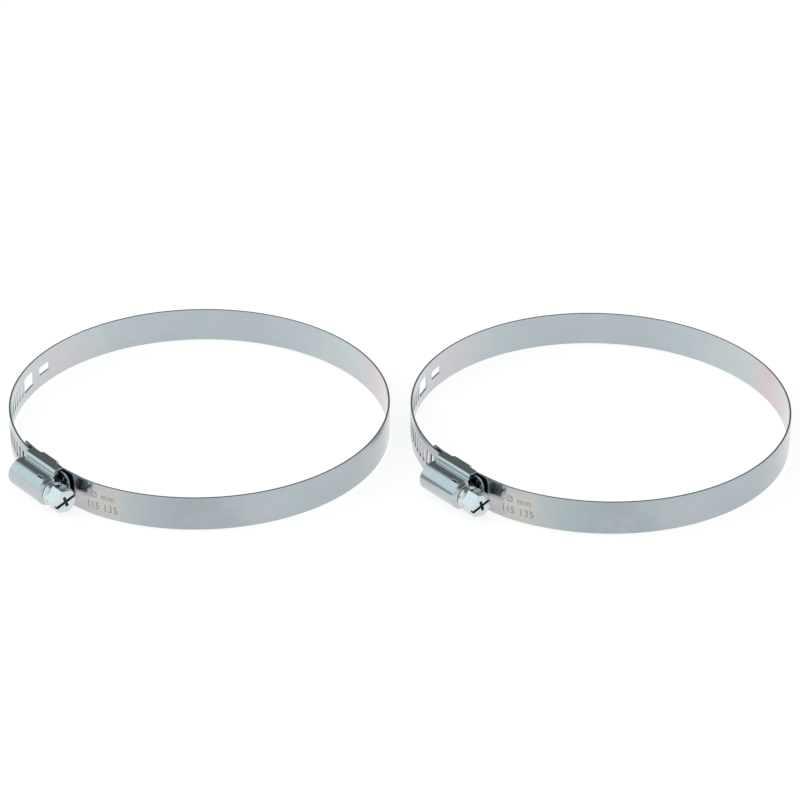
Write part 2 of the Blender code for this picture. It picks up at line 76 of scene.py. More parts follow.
# Angles round the loop in degrees, housing at 0. The band's two parts meet at the seam.
TIP = 10.99
FIRST_SLOT = 6.459
SLOT_STEP = 2.7683
LARGE_WINDOW_AT = -59.687
SMALL_WINDOW_AT = -69.251
SEAM = -88.6
FIXED_END = -373.95

# The band's inside radius along it. The first station lies past the fixed end, so that the end
# leans out a little where it leaves the housing.
STATIONS = (
    (-380.6, 67.15 * MM),
    (-366.6, FIXED_RADIUS),
    (-352.377, FIXED_RADIUS),
    (-338.377, FRONT_RADIUS),
    (-296.3, FRONT_RADIUS),
    (-74.872, TONGUE_RADIUS),
    (TIP, TONGUE_RADIUS),
)

# Housing: the middle line of its section, and its blank.
HOUSING_LENGTH = 17.6 * MM
WALL = 0.7 * MM
CROWN_RADIUS = 5.1 * MM
WALL_HEIGHT = 7.0 * MM
SHOULDER_RADIUS = 70.15 * MM
TAB_RADIUS = 65.357 * MM
TAB_REACH = 2.9 * MM
TAB_LENGTH = 8.7 * MM
SKIRT_RADIUS = 66.45 * MM
BEND = 0.8 * MM
SLIT_ANGLE = 69.0
SLIT_STATION = 5.8 * MM
SLIT_SIZE = (0.5 * MM, 2.4 * MM)

# Screw, with stations along its axis from the housing's middle.
CREST_RADIUS = 4.45 * MM
CORE_RADIUS = 3.35 * MM
NECK_RADIUS = 3.1 * MM
JOURNAL_RADIUS = 2.7 * MM
COLLAR_RADIUS = 4.273 * MM
COLLAR_BACK = 10.6 * MM
COLLAR_FRONT = 12.8 * MM
HEAD_FACE = 18.2 * MM
HEAD_FLATS = 8.0 * MM
HEAD_CORNER = HEAD_FLATS / math.sqrt(3)
HEAD_BEVEL = 0.1 * MM
HEX_TURN = math.radians(18.0)
SLOT_CUT = (12 * MM, 1.2 * MM, 2.8 * MM)
CROSS_CUT = (4.2 * MM, 1.2 * MM, 4.4 * MM)
AXIS_TO_CLAMP = Matrix.Translation((SCREW_AXIS_RADIUS, 0, 0)) @ Matrix.Rotation(-math.pi / 2, 4, "X")

# How finely the shapes are cut.
SEAM_SPARE = 2.0
BAND_STEP = 1.0
TURNED_STEPS = 96
CUT_SNAP = 0.001 * MM


# ---------------------------------------------------------------- shaders


BLACK = (0.0, 0.0, 0.0)
WHITE = (1.0, 1.0, 1.0)


class Nodes:
    """A short way to write a node tree."""

    def __init__(self, tree):
        self.tree = tree
        tree.nodes.clear()

    def add(self, kind, **settings):
        node = self.tree.nodes.new(kind)
        for key, value in settings.items():
            setattr(node, key, value)
        return node

    def join(self, source, target):
        self.tree.links.new(source, target)

    def noise(self, vector, scale, detail=2.0, rough=0.5):
        node = self.add("ShaderNodeTexNoise")
        node.inputs["Scale"].default_value = scale
        node.inputs["Detail"].default_value = detail
        node.inputs["Roughness"].default_value = rough
        self.join(vector, node.inputs["Vector"])
        return node.outputs["Fac"]

    def stretch(self, vector, scale):
        node = self.add("ShaderNodeMapping")
        node.inputs["Scale"].default_value = scale
        self.join(vector, node.inputs["Vector"])
        return node.outputs["Vector"]

    def ramp(self, factor, low, high, first=BLACK, last=WHITE):
        """One colour up to low and another from high, eased between them."""
        node = self.add("ShaderNodeValToRGB")
        node.color_ramp.interpolation = "EASE"
        stops = ((low, first), (high, last))
        for element, (place, colour) in zip(node.color_ramp.elements, stops):
            element.position = place
            element.color = (*colour, 1.0)
        self.join(factor, node.inputs["Fac"])
        return node.outputs["Color"]

    def mix(self, factor, first, second, blend="MIX"):
        node = self.add("ShaderNodeMix", data_type="RGBA", blend_type=blend)
        for index, value in ((0, factor), (6, first), (7, second)):
            if isinstance(value, bpy.types.NodeSocket):
                self.join(value, node.inputs[index])
            elif index == 0:
                node.inputs[index].default_value = value
            else:
                node.inputs[index].default_value = (*value, 1.0)
        return node.outputs[2]

    def math(self, operation, first, second=0.0, third=0.0):
        node = self.add("ShaderNodeMath", operation=operation)
        for socket, value in zip(node.inputs, (first, second, third)):
            if isinstance(value, bpy.types.NodeSocket):
                self.join(value, socket)
            else:
                socket.default_value = value
        return node.outputs[0]

    def own_place(self):
        """The point measured from its own clamp's centre, so that both clamps look alike."""
        split = self.add("ShaderNodeSeparateXYZ")
        self.join(self.add("ShaderNodeTexCoord").outputs["Object"], split.inputs[0])
        shifted = self.math("ADD", split.outputs["X"], 2 * CENTRE_X)
        whole = self.math("MODULO", shifted, 2 * CENTRE_X)
        joined = self.add("ShaderNodeCombineXYZ")
        self.join(self.math("SUBTRACT", whole, CENTRE_X), joined.inputs["X"])
        self.join(split.outputs["Y"], joined.inputs["Y"])
        self.join(split.outputs["Z"], joined.inputs["Z"])
        return joined.outputs[0]

    def patch(self, place, centre, reach):
        """A soft spot: 1 at its centre, 0 past its reach."""
        away = self.add("ShaderNodeVectorMath", operation="DISTANCE")
        self.join(place, away.inputs[0])
        away.inputs[1].default_value = centre
        far = self.math("DIVIDE", away.outputs["Value"], reach)
        return self.ramp(far, 0.1, 1.0, first=WHITE, last=BLACK)

    def span(self, value, low, high):
        """A 0 to 1 value spread over a range."""
        return self.math("MULTIPLY_ADD", value, high - low, low)


def metal(name):
    """A metal material, its nodes and its shader."""
    material = bpy.data.materials.new(name)
    material.use_nodes = True
    n = Nodes(material.node_tree)
    output = n.add("ShaderNodeOutputMaterial")
    shader = n.add("ShaderNodeBsdfPrincipled")
    shader.inputs["Metallic"].default_value = 1.0
    n.join(shader.outputs["BSDF"], output.inputs["Surface"])
    return material, n, shader


def plating(n, place, colour, blush, straw):
    """Broad, weak clouds of plating colour, rose in some places and straw in others."""
    rose = n.ramp(n.noise(place, scale=21, detail=1.5), 0.44, 0.72)
    wide = n.stretch(place, (1.3, 1.0, 2.0))
    gold = n.ramp(n.noise(wide, scale=37), 0.5, 0.78)
    base = n.mix(n.math("MULTIPLY", rose, 0.10), colour, blush)
    return n.mix(n.math("MULTIPLY", gold, 0.12), base, straw)


def painted_brighter_sides(n, place, base, pale):
    """Paints a brighter reflection onto the loop's sides and behind its front, by mixing the colour
    towards a paler one there.
    """
    split = n.add("ShaderNodeSeparateXYZ")
    n.join(place, split.inputs[0])
    sideways = n.math("DIVIDE", n.math("ABSOLUTE", split.outputs["X"]), FRONT_RADIUS)
    backwards = n.math("MULTIPLY_ADD", split.outputs["Y"], 0.5 / FRONT_RADIUS, 0.5)
    share = n.math("MULTIPLY", n.ramp(sideways, 0.2, 1.0), n.ramp(backwards, 0.2, 0.6))
    return n.mix(share, base, pale)


def spotted(n, place, base, spots):
    """Uneven spots of colour, partly plating tint and partly painted reflection and shade: centre,
    reach, strength and tint.
    """
    cloud = n.noise(place, scale=70, detail=3, rough=0.6)
    uneven = n.ramp(cloud, 0.3, 0.62, first=(0.35, 0.35, 0.35))
    for centre, reach, strength, tint in spots:
        spot = n.math("MULTIPLY", n.patch(place, centre, reach), strength)
        base = n.mix(n.math("MULTIPLY", spot, uneven), base, tint)
    return base


def plated_steel(name, colour, blush, straw, rough, streaks, bump, spots=(), pale=None):
    """Zinc-plated steel: cloudy plating colour, rolling streaks and a fine grain, with painted
    reflection and shade where spots or a pale side colour are given.
    """
    material, n, shader = metal(name)
    place = n.own_place()
    clouds = n.noise(place, scale=95, detail=3, rough=0.6)
    grain = n.noise(place, scale=2400, detail=3, rough=0.6)
    # Streaks that the strip's rolling left, along the band.
    lines = n.noise(n.stretch(place, (55.0, 55.0, 2600.0)), scale=1.0, detail=4, rough=0.65)

    base = plating(n, place, colour, blush, straw)
    # A painted brighter reflection on the loop's sides and behind its front.
    if pale:
        base = painted_brighter_sides(n, place, base, pale)
    # Spots of plating tint and of painted reflection and shade.
    if spots:
        base = spotted(n, place, base, spots)
    shade = n.ramp(clouds, 0.2, 0.8, first=(0.95, 0.955, 0.96))
    base = n.mix(1.0, base, shade, "MULTIPLY")
    faint = n.ramp(lines, 0.3, 0.7, first=(1 - streaks,) * 3)
    n.join(n.mix(1.0, base, faint, "MULTIPLY"), shader.inputs["Base Color"])

    dull = n.math("ADD", n.span(grain, -0.03, 0.03), n.span(clouds, -0.03, 0.05))
    dull = n.math("ADD", dull, n.span(lines, -0.03, 0.03))
    n.join(n.math("ADD", dull, rough), shader.inputs["Roughness"])

    bumps = n.add("ShaderNodeBump")
    bumps.inputs["Strength"].default_value = bump
    bumps.inputs["Distance"].default_value = 0.02 * MM
    relief = n.math("ADD", n.span(grain, 0.0, 0.25), n.span(lines, 0.0, 0.75))
    n.join(relief, bumps.inputs["Height"])
    n.join(bumps.outputs["Normal"], shader.inputs["Normal"])
    return material


def stamped(name, colour):
    """The shaded floor of lettering that is stamped into the plating."""
    material, n, shader = metal(name)
    place = n.add("ShaderNodeTexCoord").outputs["Object"]
    worn = n.noise(place, scale=900, detail=3, rough=0.6)
    lighter = tuple(1.7 * channel for channel in colour)
    n.join(n.mix(worn, colour, lighter), shader.inputs["Base Color"])
    n.join(n.span(worn, 0.3, 0.5), shader.inputs["Roughness"])
    return material


# ---------------------------------------------------------------- mesh helpers


def arc(centre, radius, start, end, steps):
    """Points of an arc between two angles in degrees."""
    angles = np.radians(np.linspace(start, end, steps + 1))
    return [(centre[0] + radius * math.cos(a), centre[1] + radius * math.sin(a)) for a in angles]


def rounded_box(centre, size, radius, turn=0.0):
    """A rectangle's outline with round corners, turned about its centre."""
    half = (size[0] / 2 - radius, size[1] / 2 - radius)
    points = []
    for corner, (sx, sy) in enumerate(((1, 1), (-1, 1), (-1, -1), (1, -1))):
        points += arc((sx * half[0], sy * half[1]), radius, 90 * corner, 90 * corner + 90, 4)
    c, s = math.cos(turn), math.sin(turn)
    return [(centre[0] + x * c - y * s, centre[1] + x * s + y * c) for x, y in points]


def blank(name, outlines, thickness, rounding, resolution=1):
    """A flat plate with holes, its edges rounded, as a bmesh. The first outline is the outer one."""
    curve = bpy.data.curves.new(name, "CURVE")
    curve.dimensions = "2D"
    curve.fill_mode = "BOTH"
    curve.extrude = thickness / 2 - rounding
    curve.bevel_depth = rounding
    curve.bevel_resolution = resolution
    curve.offset = -rounding
    for points in outlines:
        spline = curve.splines.new("POLY")
        spline.points.add(len(points) - 1)
        spline.use_cyclic_u = True
        for target, (x, y) in zip(spline.points, points):
            target.co = (x, y, 0.0, 1.0)
    bm = bmesh_of(curve, 0.002 * MM)
    face_out(bm)
    return bm


def bmesh_of(curve, weld):
    """A filled curve's mesh, with the points that lie closer than the weld merged."""
    source = bpy.data.objects.new(curve.name, curve)
    mesh = bpy.data.meshes.new_from_object(source)
    bpy.data.objects.remove(source)
    bm = bmesh.new()
    bm.from_mesh(mesh)
    bmesh.ops.remove_doubles(bm, verts=bm.verts, dist=weld)
    return bm


def cut_at(bm, stations):
    """Cuts the blank across at each station, so that it can bend there."""
    for station in stations:
        everything = bm.verts[:] + bm.edges[:] + bm.faces[:]
        bmesh.ops.bisect_plane(
            bm, geom=everything, dist=CUT_SNAP, plane_co=(station, 0, 0), plane_no=(1, 0, 0)
        )
    bmesh.ops.remove_doubles(bm, verts=bm.verts, dist=4 * CUT_SNAP)


def trim(bm, station, keep_above):
    """Takes away what lies past a station and closes the cut face."""
    everything = bm.verts[:] + bm.edges[:] + bm.faces[:]
    cut = bmesh.ops.bisect_plane(
        bm,
        geom=everything,
        dist=CUT_SNAP,
        plane_co=(station, 0, 0),
        plane_no=(1, 0, 0),
        clear_inner=keep_above,
        clear_outer=not keep_above,
    )
    edges = [e for e in cut["geom_cut"] if isinstance(e, bmesh.types.BMEdge)]
    bmesh.ops.edgeloop_fill(bm, edges=edges)


def face_out(bm):
    """Turns the faces of a closed mesh outwards."""
    bmesh.ops.recalc_face_normals(bm, faces=bm.faces)
    if bm.calc_volume(signed=True) < 0:
        bmesh.ops.reverse_faces(bm, faces=bm.faces)


def flat_normals(bm, thickness):
    """Each vertex's normal on the flat blank: square to the sheet, or outwards at its edges.

    A trimmed end is the one face with many sides. It meets the next part, so it bends no normal.
    """
    bm.normal_update()
    flat_part = thickness / 2 - 0.001 * MM
    normals = []
    for vert in bm.verts:
        if abs(vert.co.z) > flat_part:
            normals.append(Vector((0.0, 0.0, math.copysign(1.0, vert.co.z))))
            continue
        total = Vector()
        for face in vert.link_faces:
            if len(face.verts) <= 4:
                total += face.normal * face.calc_area()
        normals.append(total.normalized())
    return normals


def bent_sheet(bm, name, place, thickness):
    """Bends the flat blank, and shades it by the bent sheet's true normals."""
    step = 0.03 * MM
    normals = []
    for vert, flat in zip(bm.verts, flat_normals(bm, thickness)):
        rates = []
        for axis in range(3):
            ahead, behind = list(vert.co), list(vert.co)
            ahead[axis] += step
            behind[axis] -= step
            rates.append((Vector(place(*ahead)) - Vector(place(*behind))) / (2 * step))
        normals.append((Matrix(rates).inverted() @ flat).normalized())
        vert.co = place(*vert.co)
    face_out(bm)
    mesh = bpy.data.meshes.new(name)
    bm.to_mesh(mesh)
    bm.free()
    mesh.shade_smooth()
    mesh.normals_split_custom_set_from_vertices([tuple(n) for n in normals])
    return mesh


def finish_mesh(bm, name, sharp=32.0):
    """A smooth mesh from a closed bmesh, with sharp edges above an angle in degrees."""
    mesh = bpy.data.meshes.new(name)
    face_out(bm)
    bm.to_mesh(mesh)
    bm.free()
    mesh.shade_smooth()
    mesh.set_sharp_from_angle(angle=math.radians(sharp))
    return mesh


def skin(bm, rings):
    """Joins rings of points into a closed tube, with a cap at each end."""
    rings = [[bm.verts.new(point) for point in ring] for ring in rings]
    count = len(rings[0])
    for low, high in zip(rings, rings[1:]):
        for k in range(count):
            bm.faces.new((low[k], low[(k + 1) % count], high[(k + 1) % count], high[k]))
    bm.faces.new(rings[0])
    bm.faces.new(list(reversed(rings[-1])))


def around(section, angle, rise=0.0):
    """A section of (radius, station) points, turned to an angle about the screw's axis."""
    c, s = math.cos(angle), math.sin(angle)
    return [(radius * c, radius * s, station + rise) for radius, station in section]


def solid_of_revolution(profile):
    """A shape turned about the screw's axis, from (radius, station) points."""
    bm = bmesh.new()
    rings = []
    for radius, station in profile:
        count = TURNED_STEPS if radius > 0 else 1
        ring = []
        for index in range(count):
            angle = 2 * math.pi * index / count
            ring.append(bm.verts.new((radius * math.cos(angle), radius * math.sin(angle), station)))
        rings.append(ring)
    for low, high in zip(rings, rings[1:]):
        for index in range(TURNED_STEPS):
            corners = (
                low[index % len(low)],
                low[(index + 1) % len(low)],
                high[(index + 1) % len(high)],
                high[index % len(high)],
            )
            # A ring of one point on the axis gives triangles.
            bm.faces.new(list(dict.fromkeys(corners)))
    face_out(bm)
    return bm


def object_of(name, mesh):
    obj = bpy.data.objects.new(name, mesh)
    bpy.context.scene.collection.objects.link(obj)
    return obj


def boolean(obj, other, operation):
    modifier = obj.modifiers.new(operation.lower(), "BOOLEAN")
    modifier.operation = operation
    modifier.object = other
    modifier.solver = "EXACT"


def applied(obj, *helpers):
    """The object's mesh with its modifiers applied; the object and its helpers are removed."""
    bpy.context.view_layer.update()
    evaluated = obj.evaluated_get(bpy.context.evaluated_depsgraph_get())
    mesh = bpy.data.meshes.new_from_object(evaluated)
    for used in (obj, *helpers):
        bpy.data.objects.remove(used)
    return mesh


# ---------------------------------------------------------------- band


def smoothstep(value):
    value = min(max(value, 0.0), 1.0)
    return value * value * (3 - 2 * value)


def band_radius(angle):
    """The band's inside radius at an angle of the loop."""
    for (start, inner), (end, outer) in zip(STATIONS, STATIONS[1:]):
        if angle <= end:
            return inner + (outer - inner) * smoothstep((angle - start) / (end - start))
    return TONGUE_RADIUS


def along(angle):
    """Station on the flat strip for an angle of the loop."""
    return math.radians(angle) * SLOT_RADIUS


def on_band(x, y, t):
    """A point of the flat strip, with its height t over the middle, on the bent band."""
    angle = x / SLOT_RADIUS
    radius = band_radius(math.degrees(angle)) + BAND_THICKNESS / 2 + t
    return (radius * math.cos(angle), radius * math.sin(angle), y)


def strip_outline(start, end, start_corner, end_corner):
    """The strip's outline with its own corner radius at each end."""
    half = BAND_WIDTH / 2
    points = []
    points += arc((end - end_corner, half - end_corner), end_corner, 0, 90, 8)
    points += arc((start + start_corner, half - start_corner), start_corner, 90, 180, 8)
    points += arc((start + start_corner, start_corner - half), start_corner, 180, 270, 8)
    points += arc((end - end_corner, end_corner - half), end_corner, 270, 360, 8)
    return points


def band_sheet(name, outlines, cuts_from, cuts_to, keep_above):
    """A part of the band: its blank is drawn past the seam, trimmed there and bent."""
    bm = blank(name, outlines, BAND_THICKNESS, 0.09 * MM)
    trim(bm, along(SEAM), keep_above)
    cut_at(bm, [along(angle) for angle in np.arange(cuts_from, cuts_to, BAND_STEP)])
    return bent_sheet(bm, name, on_band, BAND_THICKNESS)


def free_end_mesh():
    """The slotted end of the band with its two windows and its rounded tip."""
    lead = -math.atan(PITCH / (2 * math.pi * CREST_RADIUS))
    outlines = [strip_outline(along(SEAM - SEAM_SPARE), along(TIP), 1 * MM, 4 * MM)]
    for index in range(SLOT_COUNT):
        centre = (along(FIRST_SLOT - index * SLOT_STEP), 0.0)
        outlines.append(rounded_box(centre, SLOT_SIZE, SLOT_CORNER, lead))
    for at, size in ((LARGE_WINDOW_AT, LARGE_WINDOW), (SMALL_WINDOW_AT, SMALL_WINDOW)):
        outlines.append(rounded_box((along(at), 0.0), size, WINDOW_CORNER))
    return band_sheet("free_end", outlines, SEAM + BAND_STEP, TIP, keep_above=True)


def plain_part_mesh():
    """The rest of the band, from the fixed end in the housing round to the seam."""
    outline = strip_outline(along(FIXED_END), along(SEAM + SEAM_SPARE), 0.8 * MM, 1 * MM)
    return band_sheet("plain_part", [outline], FIXED_END + BAND_STEP, SEAM, keep_above=False)


def lettering_mesh(text, size, start, end, height):
    """A line of plain figures on the outside of the band's front, between two angles."""
    curve = bpy.data.curves.new(text, "FONT")
    curve.body = text
    curve.size = size
    curve.space_character = 1.15
    curve.extrude = 0.012 * MM
    bm = bmesh_of(curve, 0.001 * MM)
    low = min(v.co.x for v in bm.verts)
    high = max(v.co.x for v in bm.verts)
    # The plain part runs round to its fixed end, so the front lies a whole turn back.
    first = along(start - 360)
    factor = (along(end - 360) - first) / (high - low)
    face = BAND_THICKNESS / 2 + 0.004 * MM
    for vert in bm.verts:
        vert.co = on_band(first + (vert.co.x - low) * factor, vert.co.y + height, vert.co.z + face)
    return finish_mesh(bm, "figures", 60)


# ---------------------------------------------------------------- housing


def housing_path():
    """The section's middle line, upper tab to lower tab: lengths, points and outward normals.

    A point is (height, radius). The lengths are measured from the crown's top.
    """
    reach = CROWN_RADIUS + BEND
    rise = SHOULDER_RADIUS + BEND - SCREW_AXIS_RADIUS
    valley = (math.sqrt(reach**2 - rise**2), SHOULDER_RADIUS + BEND)
    contact = math.degrees(math.atan2(rise, valley[0]))
    upper = [
        (WALL_HEIGHT - WALL / 2 - TAB_REACH, TAB_RADIUS),
        *arc((WALL_HEIGHT - BEND, TAB_RADIUS + BEND), BEND, -90, 0, 8),
        *arc((WALL_HEIGHT - BEND, SHOULDER_RADIUS - BEND), BEND, 0, 90, 8),
        *arc(valley, BEND, 270, 180 + contact, 8),
    ]
    crown = arc((0.0, SCREW_AXIS_RADIUS), CROWN_RADIUS, contact, 180 - contact, 48)
    lower = [(-height, radius) for height, radius in reversed(upper)]
    points = np.array(upper + crown[1:-1] + lower)
    steps = np.linalg.norm(np.diff(points, axis=0), axis=1)
    length = np.concatenate([[0.0], np.cumsum(steps)])
    tangent = np.gradient(points, length, axis=0)
    tangent /= np.linalg.norm(tangent, axis=1)[:, None]
    normal = np.stack([tangent[:, 1], -tangent[:, 0]], axis=1)
    return length - length[-1] / 2, points, normal


PATH_LENGTH, PATH_POINT, PATH_NORMAL = housing_path()


def on_housing(x, y, t):
    """A point of the flat blank, with its height t over the middle, on the bent housing."""
    z, u = (np.interp(x, PATH_LENGTH, PATH_POINT[:, k]) for k in (0, 1))
    nz, nu = (np.interp(x, PATH_LENGTH, PATH_NORMAL[:, k]) for k in (0, 1))
    size = math.hypot(nz, nu)
    return (u + t * nu / size, y, z + t * nz / size)


def housing_outline():
    """The blank's outline: the full length between the walls' edges, and a tab past each."""
    on_wall = (PATH_LENGTH < 0) & (PATH_POINT[:, 0] > WALL_HEIGHT - 0.1 * MM)
    skirt = -float(np.interp(SKIRT_RADIUS, PATH_POINT[on_wall, 1], PATH_LENGTH[on_wall]))
    end = PATH_LENGTH[-1]
    half = HOUSING_LENGTH / 2
    tab = TAB_LENGTH / 2
    tab_corner = 0.9 * MM
    root = 0.5 * MM
    corner = 0.6 * MM
    quarter = [
        *arc((end - tab_corner, tab - tab_corner), tab_corner, 0, 90, 4),
        *arc((skirt + root, tab + root), root, 270, 180, 3),
        *arc((skirt - corner, half - corner), corner, 0, 90, 4),
    ]
    front = quarter + [(-x, y) for x, y in reversed(quarter)]
    return front + [(-x, -y) for x, y in front]


def slit_outline():
    """The slit in the crown's upper side, near the screw's head."""
    angle = math.radians(SLIT_ANGLE)
    height = CROWN_RADIUS * math.sin(angle)
    radius = SCREW_AXIS_RADIUS + CROWN_RADIUS * math.cos(angle)
    away = np.hypot(PATH_POINT[:, 0] - height, PATH_POINT[:, 1] - radius)
    across = float(PATH_LENGTH[np.argmin(away)])
    return rounded_box((across, SLIT_STATION), SLIT_SIZE, 0.2 * MM)


def housing_mesh():
    """The pressed housing: a flat blank with two tabs and a slit, bent round the screw."""
    bm = blank("housing", [housing_outline(), slit_outline()], WALL, 0.2 * MM, 2)
    cut_at(bm, PATH_LENGTH[1:-1])
    return bent_sheet(bm, "housing", on_housing, WALL)


def crown_reach():
    """How far the crown reaches round the screw on either side of its top, in radians."""
    rise = SHOULDER_RADIUS + BEND - SCREW_AXIS_RADIUS
    return math.pi / 2 - math.asin(rise / (CROWN_RADIUS + BEND))


def crown_ring(name, section):
    """A section swept round the screw as far as the crown reaches."""
    angles = np.linspace(-crown_reach(), crown_reach(), 65)
    bm = bmesh.new()
    skin(bm, [around(section, angle) for angle in angles])
    return finish_mesh(bm, name, 30)


def journal_lip_mesh():
    """The turned-in far end of the crown, round the screw's journal."""
    back = -8.55 * MM
    front = -7.75 * MM
    bore = 3.0 * MM
    edge = 0.15 * MM
    section = [
        (CROWN_RADIUS, front),
        *arc((bore + edge, front - edge), edge, 90, 180, 3),
        *arc((bore + edge, back + edge), edge, 180, 270, 3),
        (CROWN_RADIUS, back),
    ]
    return crown_ring("journal_lip", section)


def throat_mesh():
    """The crown's head end, drawn in to a lip round the screw's neck."""
    outside = CROWN_RADIUS + WALL / 2 - 0.02 * MM
    back = 8.55 * MM
    front = 10.1 * MM
    lip_back = front - 0.8 * MM
    lip_radius = 4.72 * MM
    corner = 0.9 * MM
    bore = 3.4 * MM
    edge = 0.15 * MM
    section = [
        (outside, back),
        (outside - 0.1 * MM, back + 0.25 * MM),
        *arc((lip_radius - corner, front - corner), corner, 25, 90, 8),
        *arc((bore + edge, front - edge), edge, 90, 180, 3),
        (bore, lip_back),
        (4.0 * MM, lip_back),
        (4.8 * MM, back - 0.15 * MM),
    ]
    return crown_ring("throat", section)


# ---------------------------------------------------------------- screw


def body_mesh():
    """Journal, core, neck and collar, turned in one. The collar's front is coned."""
    shoulder = COLLAR_FRONT - 1.3 * MM
    collar_edge = COLLAR_BACK - 0.15 * MM
    groove_radius = 3.6 * MM
    cone_radius = 4.03 * MM
    core_front = 8.65 * MM
    core_back = -7.4 * MM
    journal_end = -8.8 * MM
    bevel = 0.3 * MM
    profile = [
        (0.0, COLLAR_FRONT + 0.1 * MM),
        (groove_radius, COLLAR_FRONT + 0.1 * MM),
        (groove_radius, COLLAR_FRONT - 0.16 * MM),
        (cone_radius, COLLAR_FRONT - 0.2 * MM),
        (COLLAR_RADIUS + 0.22 * MM, shoulder + 0.08 * MM),
        (COLLAR_RADIUS + 0.25 * MM, shoulder),
        (COLLAR_RADIUS + 0.13 * MM, COLLAR_BACK),
        (COLLAR_RADIUS - 0.02 * MM, collar_edge),
        (NECK_RADIUS, collar_edge),
        (NECK_RADIUS, core_front + 0.25 * MM),
        (CORE_RADIUS, core_front),
        (CORE_RADIUS, core_back),
        (JOURNAL_RADIUS, core_back),
        (JOURNAL_RADIUS, journal_end + bevel),
        (JOURNAL_RADIUS - bevel, journal_end),
        (0.0, journal_end),
    ]
    return finish_mesh(solid_of_revolution(profile), "body", 12)


def ridge_section(crest):
    """The thread's section: its root in the core, its flanks and its narrow crest."""
    root_radius = 3.0 * MM
    root = 0.78 * MM
    flank = 0.42 * MM
    top = 0.28 * MM
    edge = 0.15 * MM
    return [
        (root_radius, -root),
        (crest - edge, -flank),
        (crest, -top),
        (crest, top),
        (crest - edge, flank),
        (root_radius, root),
    ]


def thread_mesh():
    """The worm's ridge, which runs out softly at both ends."""
    per_turn = 48
    length = 12.9 * MM
    steps = round(per_turn * length / PITCH)
    first = -length / 2
    # At this station the ridge points at the band, in the middle of a slot.
    in_slot = 1.1 * MM
    phase = math.pi - 2 * math.pi * (in_slot - first) / PITCH
    low_crest = 3.3 * MM
    fading = 0.3 * per_turn
    rings = []
    for index in range(steps + 1):
        height = smoothstep(min(index, steps - index) / fading)
        section = ridge_section(low_crest + (CREST_RADIUS - low_crest) * height)
        turned = index / per_turn
        rings.append(around(section, phase + 2 * math.pi * turned, first + PITCH * turned))
    bm = bmesh.new()
    skin(bm, rings)
    return finish_mesh(bm, "thread", 30)


def hexagon():
    """The head's plain hexagonal prism."""
    middle = Matrix.Translation((0, 0, (COLLAR_FRONT + HEAD_FACE) / 2))
    bm = bmesh.new()
    bmesh.ops.create_cone(
        bm,
        cap_ends=True,
        segments=6,
        radius1=HEAD_CORNER,
        radius2=HEAD_CORNER,
        depth=HEAD_FACE - COLLAR_FRONT,
        matrix=middle @ Matrix.Rotation(HEX_TURN, 4, "Z"),
    )
    return object_of("hexagon", finish_mesh(bm, "hexagon"))


def head_envelope():
    """The turned shape that the hexagon is cut back to, which gives it its chamfers."""
    wide = HEAD_CORNER + 0.2 * MM
    back = COLLAR_FRONT - 0.2 * MM
    profile = [
        (0.0, HEAD_FACE + 1 * MM),
        (3.6 * MM, HEAD_FACE + 1 * MM),
        (4.15 * MM, HEAD_FACE),
        (wide, HEAD_FACE - 0.45 * MM),
        (wide, back),
        (0.0, back),
    ]
    return object_of("envelope", finish_mesh(solid_of_revolution(profile), "envelope"))


def recess_cutter(size, turn):
    """A box in the middle of the head's face: half of its height cuts into the head."""
    at = Matrix.Translation((0, 0, HEAD_FACE)) @ Matrix.Rotation(turn, 4, "Z")
    bm = bmesh.new()
    bmesh.ops.create_cube(bm, size=1.0, matrix=at @ Matrix.Diagonal((*size, 1.0)))
    return object_of("cut", finish_mesh(bm, "cut"))


def mark_painted_shade_faces(mesh):
    """Gives the mesh two material slots, the second one, with a painted shade, for the slot and the
    cross's walls.
    """
    mesh.materials.append(None)
    mesh.materials.append(None)
    across = Vector((-math.sin(HEX_TURN), math.cos(HEX_TURN)))
    lowest = HEAD_FACE - SLOT_CUT[2] / 2 - 0.05 * MM
    highest = HEAD_FACE - HEAD_BEVEL - 0.02 * MM
    slot_half = SLOT_CUT[1] / 2 + 0.01 * MM
    cross_half = CROSS_CUT[0] / 2 + 0.1 * MM
    flat_starts = 3.7 * MM
    for face in mesh.polygons:
        middle = Vector(face.center[:2])
        sunk = lowest < face.center.z < highest
        in_slot = abs(middle.dot(across)) < slot_half or middle.length < cross_half
        face.material_index = int(sunk and in_slot and middle.length < flat_starts)


def head_mesh():
    """The hexagonal head with turned chamfers, a slot from flat to flat and a cross recess."""
    head = hexagon()
    envelope = head_envelope()
    slot = recess_cutter(SLOT_CUT, HEX_TURN)
    cross = recess_cutter(CROSS_CUT, HEX_TURN + math.pi / 2)
    boolean(head, envelope, "INTERSECT")
    boolean(head, slot, "DIFFERENCE")
    boolean(head, cross, "DIFFERENCE")
    soften = head.modifiers.new("soften", "BEVEL")
    soften.width = HEAD_BEVEL
    soften.segments = 2
    soften.limit_method = "ANGLE"
    soften.angle_limit = math.radians(25)
    soften.harden_normals = True
    head.data.shade_smooth()
    mesh = applied(head, envelope, slot, cross)
    mark_painted_shade_faces(mesh)
    return mesh


# ---------------------------------------------------------------- materials


ROSE = (0.70, 0.56, 0.60)
BLUSH = (0.76, 0.53, 0.55)
STRAW = (0.56, 0.55, 0.51)
SLATE = (0.37, 0.42, 0.445)
